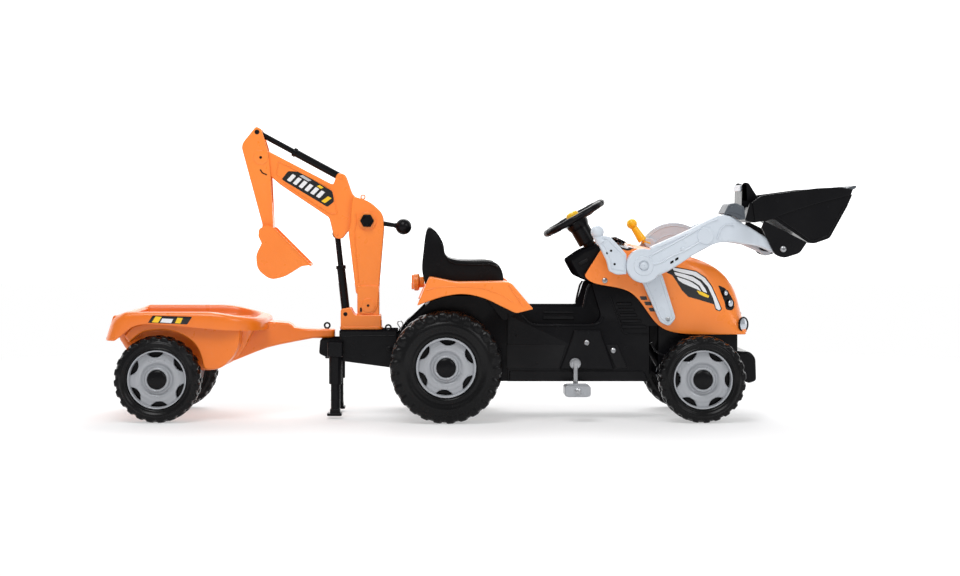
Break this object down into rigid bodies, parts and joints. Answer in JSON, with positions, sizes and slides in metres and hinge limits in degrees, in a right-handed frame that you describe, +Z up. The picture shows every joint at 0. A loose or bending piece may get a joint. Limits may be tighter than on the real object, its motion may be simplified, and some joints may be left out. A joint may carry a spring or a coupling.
{
  "type": "ride-on digger tractor",
  "caption": "Child's pedal tractor with a front loader, a swinging rear digger on stabiliser legs and a small trailer.",
  "frame": {"origin": "on the ground, under the centre of the whole train's bounding box", "axes": "+X forwards along the train, +Y to the rider's left, +Z up"},
  "size_m": [1.82, 0.44, 0.715],
  "materials": {
    "orange_plastic": "glossy blow-moulded orange polyethylene",
    "black_plastic": "semi-gloss black moulded polyethylene",
    "tyre_plastic": "glossy black blow-moulded tyre with chunky lugs",
    "silver_plastic": "silver-grey moulded plastic",
    "grey_plastic": "pale blue-grey moulded plastic",
    "yellow_plastic": "bright yellow moulded plastic",
    "steel": "zinc-plated steel"
  },
  "bodies": {
    "chassis": {"chassis_tub": "black_plastic", "dashboard": "black_plastic", "front_bumper": "black_plastic", "rear_fender": "orange_plastic", "front_axle_beam": "steel", "loader_post_right": "grey_plastic", "loader_post_left": "grey_plastic", "loader_pin_right": "grey_plastic", "loader_pin_left": "grey_plastic", "drive_chain": "steel", "backhoe_base": "black_plastic"},
    "seat": {"seat": "black_plastic"},
    "seat_knob": {"seat_lock_knob": "orange_plastic"},
    "hood": {"hood": "orange_plastic"},
    "steering": {"steering_wheel": "black_plastic", "steering_shaft": "steel"},
    "horn": {"horn_button": "yellow_plastic"},
    "knuckle_right": {"knuckle_right": "steel"},
    "knuckle_left": {"knuckle_left": "steel"},
    "tie_rod": {"tie_rod": "steel"},
    "front_wheel_right": {"front_tyre_right": "tyre_plastic", "front_rim_right": "silver_plastic"},
    "front_wheel_left": {"front_tyre_left": "tyre_plastic", "front_rim_left": "silver_plastic"},
    "crank": {"crankshaft": "steel"},
    "pedal_right": {"pedal_right": "silver_plastic"},
    "pedal_left": {"pedal_left": "silver_plastic"},
    "rear_drive": {"rear_axle": "steel", "rear_sprocket": "steel", "rear_tyre_right": "tyre_plastic", "rear_rim_right": "silver_plastic"},
    "rear_wheel_left": {"rear_tyre_left": "tyre_plastic", "rear_rim_left": "silver_plastic"},
    "loader_arms": {"loader_arm_right": "grey_plastic", "loader_arm_left": "grey_plastic", "loader_crossbar": "black_plastic", "lift_lever": "grey_plastic"},
    "tilt_handle": {"tilt_disc": "grey_plastic", "tilt_lever": "yellow_plastic"},
    "loader_bucket": {"loader_bucket": "black_plastic"},
    "turret": {"turret": "orange_plastic", "mast": "orange_plastic"},
    "boom": {"boom": "orange_plastic", "boom_lever": "black_plastic", "boom_bolt": "black_plastic"},
    "boom_cylinder": {"boom_cylinder": "black_plastic"},
    "boom_rod": {"boom_rod": "black_plastic"},
    "stick": {"stick": "orange_plastic"},
    "stick_cylinder": {"stick_cylinder": "black_plastic"},
    "stick_rod": {"stick_rod": "black_plastic"},
    "dig_bucket": {"dig_bucket": "orange_plastic"},
    "stabiliser_right": {"stabiliser_right": "black_plastic"},
    "stabiliser_left": {"stabiliser_left": "black_plastic"},
    "hitch_pin": {"hitch_pin": "black_plastic"},
    "trailer": {"trailer_body": "orange_plastic", "trailer_axle": "steel"},
    "trailer_wheel_right": {"trailer_tyre_right": "tyre_plastic", "trailer_rim_right": "silver_plastic"},
    "trailer_wheel_left": {"trailer_tyre_left": "tyre_plastic", "trailer_rim_left": "silver_plastic"}
  },
  "joints": [
    {"name": "seat_adjust", "type": "slide", "parent": "chassis", "child": "seat", "axis": [1, 0, 0], "range_m": [0, 0.04]},
    {"name": "seat_knob_turn", "type": "hinge", "parent": "chassis", "child": "seat_knob", "pos_m": [-0.15, 0, 0.33], "axis": [1, 0, 0], "continuous": true},
    {"name": "hood_open", "type": "hinge", "parent": "chassis", "child": "hood", "pos_m": [0.634, 0, 0.226], "axis": [0, 1, 0], "range_deg": [0, 20]},
    {"name": "steer", "type": "hinge", "parent": "chassis", "child": "steering", "pos_m": [0.232, 0, 0.489], "axis": [-0.5, 0, 0.866], "range_deg": [-40, 40]},
    {"name": "horn_press", "type": "slide", "parent": "steering", "child": "horn", "axis": [0.5, 0, -0.866], "range_m": [0, 0.003], "stiffness_N_per_m": 400},
    {"name": "knuckle_right_turn", "type": "hinge", "parent": "chassis", "child": "knuckle_right", "pos_m": [0.524, -0.112, 0.104], "axis": [0, 0, 1], "range_deg": [-20, 20]},
    {"name": "front_wheel_right_spin", "type": "hinge", "parent": "knuckle_right", "child": "front_wheel_right", "pos_m": [0.524, -0.17, 0.104], "axis": [0, 1, 0], "continuous": true},
    {"name": "knuckle_left_turn", "type": "hinge", "parent": "chassis", "child": "knuckle_left", "pos_m": [0.524, 0.112, 0.104], "axis": [0, 0, 1], "range_deg": [-20, 20]},
    {"name": "front_wheel_left_spin", "type": "hinge", "parent": "knuckle_left", "child": "front_wheel_left", "pos_m": [0.524, 0.17, 0.104], "axis": [0, 1, 0], "continuous": true},
    {"name": "tie_rod_shift", "type": "slide", "parent": "chassis", "child": "tie_rod", "axis": [0, 1, 0], "range_m": [-0.01746, 0.01746]},
    {"name": "crank_turn", "type": "hinge", "parent": "chassis", "child": "crank", "pos_m": [0.225, 0, 0.137], "axis": [0, 1, 0], "continuous": true},
    {"name": "pedal_right_spin", "type": "hinge", "parent": "crank", "child": "pedal_right", "pos_m": [0.225, -0.17, 0.077], "axis": [0, 1, 0], "continuous": true},
    {"name": "pedal_left_spin", "type": "hinge", "parent": "crank", "child": "pedal_left", "pos_m": [0.225, 0.17, 0.197], "axis": [0, 1, 0], "continuous": true},
    {"name": "rear_axle_turn", "type": "hinge", "parent": "chassis", "child": "rear_drive", "pos_m": [-0.088, 0, 0.134], "axis": [0, 1, 0], "continuous": true},
    {"name": "rear_wheel_left_spin", "type": "hinge", "parent": "chassis", "child": "rear_wheel_left", "pos_m": [-0.088, 0.178, 0.134], "axis": [0, 1, 0], "continuous": true},
    {"name": "loader_lift", "type": "hinge", "parent": "chassis", "child": "loader_arms", "pos_m": [0.3835, 0, 0.375], "axis": [0, -1, 0], "range_deg": [-25, 8]},
    {"name": "bucket_tilt_handle", "type": "hinge", "parent": "loader_arms", "child": "tilt_handle", "pos_m": [0.501, 0.19, 0.392], "axis": [0, -1, 0], "range_deg": [-60, 5]},
    {"name": "loader_bucket_tilt", "type": "hinge", "parent": "loader_arms", "child": "loader_bucket", "pos_m": [0.728, 0, 0.414], "axis": [0, -1, 0], "range_deg": [-60, 5]},
    {"name": "turret_swing", "type": "hinge", "parent": "chassis", "child": "turret", "pos_m": [-0.3, 0, 0.213], "axis": [0, 0, 1], "range_deg": [-60, 60]},
    {"name": "boom_lift", "type": "hinge", "parent": "turret", "child": "boom", "pos_m": [-0.2815, 0, 0.4825], "axis": [0, 1, 0], "range_deg": [-20, 15]},
    {"name": "boom_cylinder_swing", "type": "hinge", "parent": "turret", "child": "boom_cylinder", "pos_m": [-0.335, 0, 0.252], "axis": [0, 1, 0], "range_deg": [-2.1, 2.8]},
    {"name": "boom_rod_slide", "type": "slide", "parent": "boom_cylinder", "child": "boom_rod", "axis": [-0.1104, 0, 0.9939], "range_m": [-0.02653, 0.0199]},
    {"name": "stick_swing", "type": "hinge", "parent": "boom", "child": "stick", "pos_m": [-0.545, 0, 0.639], "axis": [0, 1, 0], "range_deg": [-12, 20]},
    {"name": "stick_cylinder_swing", "type": "hinge", "parent": "boom", "child": "stick_cylinder", "pos_m": [-0.347, 0, 0.59], "axis": [0, 1, 0], "range_deg": [-1.9, 3.15]},
    {"name": "stick_rod_slide", "type": "slide", "parent": "stick_cylinder", "child": "stick_rod", "axis": [-0.8795, 0, 0.4759], "range_m": [-0.0176, 0.0106]},
    {"name": "dig_bucket_curl", "type": "hinge", "parent": "stick", "child": "dig_bucket", "pos_m": [-0.532, 0, 0.448], "axis": [0, -1, 0], "range_deg": [-50, 40]},
    {"name": "stabiliser_right_slide", "type": "slide", "parent": "chassis", "child": "stabiliser_right", "axis": [0, 0, 1], "range_m": [-0.006, 0.05]},
    {"name": "stabiliser_left_slide", "type": "slide", "parent": "chassis", "child": "stabiliser_left", "axis": [0, 0, 1], "range_m": [-0.006, 0.05]},
    {"name": "hitch_pin_lift", "type": "slide", "parent": "chassis", "child": "hitch_pin", "axis": [0, 0, 1], "range_m": [0, 0.07]},
    {"name": "trailer_yaw", "type": "hinge", "parent": "chassis", "child": "trailer", "pos_m": [-0.382, 0, 0.2], "axis": [0, 0, 1], "range_deg": [-30, 30]},
    {"name": "trailer_wheel_right_spin", "type": "hinge", "parent": "trailer", "child": "trailer_wheel_right", "pos_m": [-0.777, -0.168, 0.104], "axis": [0, 1, 0], "continuous": true},
    {"name": "trailer_wheel_left_spin", "type": "hinge", "parent": "trailer", "child": "trailer_wheel_left", "pos_m": [-0.777, 0.168, 0.104], "axis": [0, 1, 0], "continuous": true}
  ],
  "couplings": [
    {"joint": "knuckle_right_turn", "follows": "steer", "ratio": 0.5},
    {"joint": "knuckle_left_turn", "follows": "steer", "ratio": 0.5},
    {"joint": "tie_rod_shift", "follows": "steer", "m_per_rad": -0.025},
    {"joint": "rear_axle_turn", "follows": "crank_turn", "ratio": 1.6154},
    {"joint": "loader_bucket_tilt", "follows": "bucket_tilt_handle", "ratio": 1},
    {"joint": "boom_cylinder_swing", "follows": "boom_lift", "ratio": -0.14},
    {"joint": "boom_rod_slide", "follows": "boom_lift", "m_per_rad": 0.076},
    {"joint": "stick_cylinder_swing", "follows": "stick_swing", "ratio": 0.157},
    {"joint": "stick_rod_slide", "follows": "stick_swing", "m_per_rad": -0.0504}
  ]
}
